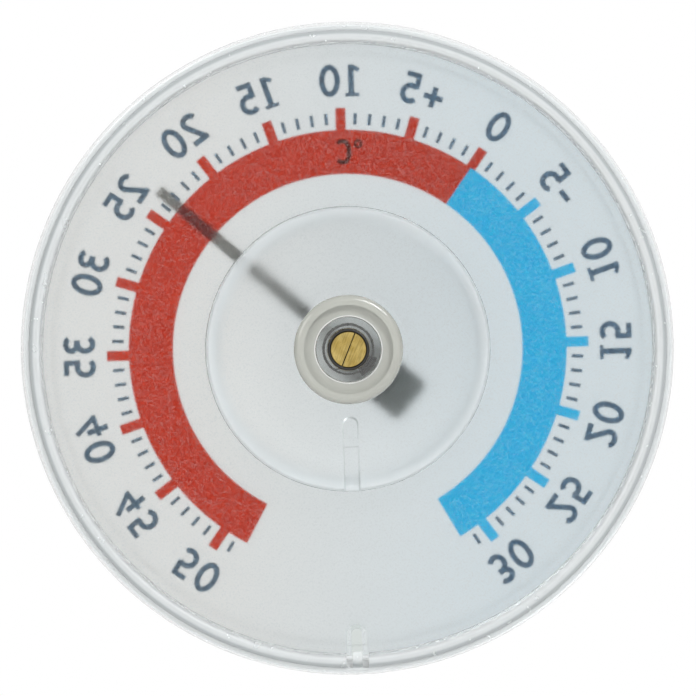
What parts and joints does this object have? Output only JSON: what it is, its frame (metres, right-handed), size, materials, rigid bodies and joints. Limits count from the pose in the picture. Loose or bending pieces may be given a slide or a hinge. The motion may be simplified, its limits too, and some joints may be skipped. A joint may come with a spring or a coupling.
{
  "type": "dial thermometer",
  "caption": "Round clear bimetal dial thermometer for a window pane, with a frosted dial, red and blue scale, black pointer and slotted brass setting arbor at the back.",
  "frame": {"origin": "centre of the front window face, on the dial axis", "axes": "+Y runs along the dial axis to the back, +Z is the top of the dial (the 10 degree mark), +X is to the right as the dial is read from the front"},
  "size_m": [0.075, 0.0148, 0.075],
  "materials": {
    "clear_plastic": "clear, polished",
    "frosted_plastic": "frosted, fine spark-eroded grain at the back",
    "red_ink": "printed ink",
    "blue_ink": "printed ink",
    "dark_ink": "printed ink",
    "natural_plastic": "natural, polished",
    "black_rubber": "smooth",
    "brass": "turned and sawn",
    "bimetal": "rolled strip",
    "black_plastic": "satin",
    "nylon": "natural"
  },
  "bodies": {
    "case": {"front_cover": "clear_plastic", "dial_plate": "frosted_plastic", "band_red": "red_ink", "band_blue": "blue_ink", "minor_ticks": "dark_ink", "hub_housing": "natural_plastic", "friction_sleeve": "black_rubber"},
    "arbor": {"calibration_arbor": "brass", "bimetal_coil": "bimetal", "retaining_cap": "brass"},
    "pointer": {"pointer": "black_plastic", "pointer_hub": "black_plastic", "pointer_washer": "nylon"}
  },
  "joints": [
    {"name": "calibration_turn", "type": "hinge", "parent": "case", "child": "arbor", "pos_m": [0, 0.0145, 0], "axis": [0, 1, 0], "continuous": true},
    {"name": "pointer_swing", "type": "hinge", "parent": "arbor", "child": "pointer", "pos_m": [0, 0.004, 0], "axis": [0, 1, 0], "range_deg": [-192.2, 95.7], "stiffness_Nm_per_rad": 0.0004, "deforming": ["bimetal_coil"]}
  ]
}
